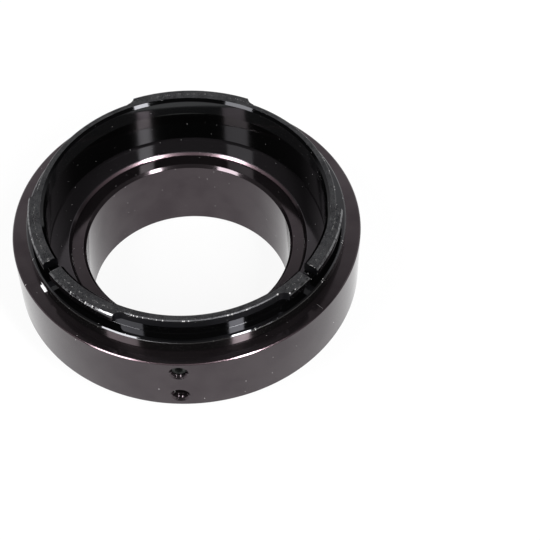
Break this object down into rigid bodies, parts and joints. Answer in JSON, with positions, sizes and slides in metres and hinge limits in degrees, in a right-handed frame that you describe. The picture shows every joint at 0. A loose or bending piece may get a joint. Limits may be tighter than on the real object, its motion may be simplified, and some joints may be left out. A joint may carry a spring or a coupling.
{
  "type": "lens mount adapter",
  "caption": "Round lens mount adapter: a turned body with a black bayonet ring on top and a plain lens tube below, each locked by radial grub screws.",
  "frame": {"origin": "centre of the lens tube's lower end, on which the adapter stands", "axes": "+Z along the optical axis from the lens to the bayonet, -Y towards the front pair of grub screws"},
  "size_m": [0.0426, 0.0426, 0.0181],
  "materials": {
    "brown_anodised": "dark brown anodised, satin, finely turned",
    "black_anodised": "black anodised, glossy walls and matt lug tops",
    "black_steel": "black oxide"
  },
  "bodies": {
    "adapter": {"adapter_body": "brown_anodised"},
    "bayonet": {"bayonet_mount_ring": "black_anodised"},
    "tube": {"lens_tube": "brown_anodised"},
    "ring_screw_front": {"ring_screw_front": "black_steel"},
    "ring_screw_right": {"ring_screw_right": "black_steel"},
    "ring_screw_left": {"ring_screw_left": "black_steel"},
    "tube_screw_front": {"tube_screw_front": "black_steel"},
    "tube_screw_right": {"tube_screw_right": "black_steel"},
    "tube_screw_left": {"tube_screw_left": "black_steel"}
  },
  "joints": [
    {"name": "bayonet_turn", "type": "hinge", "parent": "adapter", "child": "bayonet", "pos_m": [0, 0, 0.014], "axis": [0, 0, 1], "continuous": true},
    {"name": "tube_slide", "type": "slide", "parent": "adapter", "child": "tube", "axis": [0, 0, 1], "range_m": [-0.0015, 0.0058]},
    {"name": "ring_screw_front_travel", "type": "slide", "parent": "adapter", "child": "ring_screw_front", "axis": [0, -1, 0], "range_m": [0, 0.0005]},
    {"name": "ring_screw_right_travel", "type": "slide", "parent": "adapter", "child": "ring_screw_right", "axis": [0.866, 0.5, 0], "range_m": [0, 0.0005]},
    {"name": "ring_screw_left_travel", "type": "slide", "parent": "adapter", "child": "ring_screw_left", "axis": [-0.866, 0.5, 0], "range_m": [0, 0.0005]},
    {"name": "tube_screw_front_travel", "type": "slide", "parent": "adapter", "child": "tube_screw_front", "axis": [0, -1, 0], "range_m": [0, 0.0018]},
    {"name": "tube_screw_right_travel", "type": "slide", "parent": "adapter", "child": "tube_screw_right", "axis": [0.866, 0.5, 0], "range_m": [0, 0.0018]},
    {"name": "tube_screw_left_travel", "type": "slide", "parent": "adapter", "child": "tube_screw_left", "axis": [-0.866, 0.5, 0], "range_m": [0, 0.0018]}
  ]
}
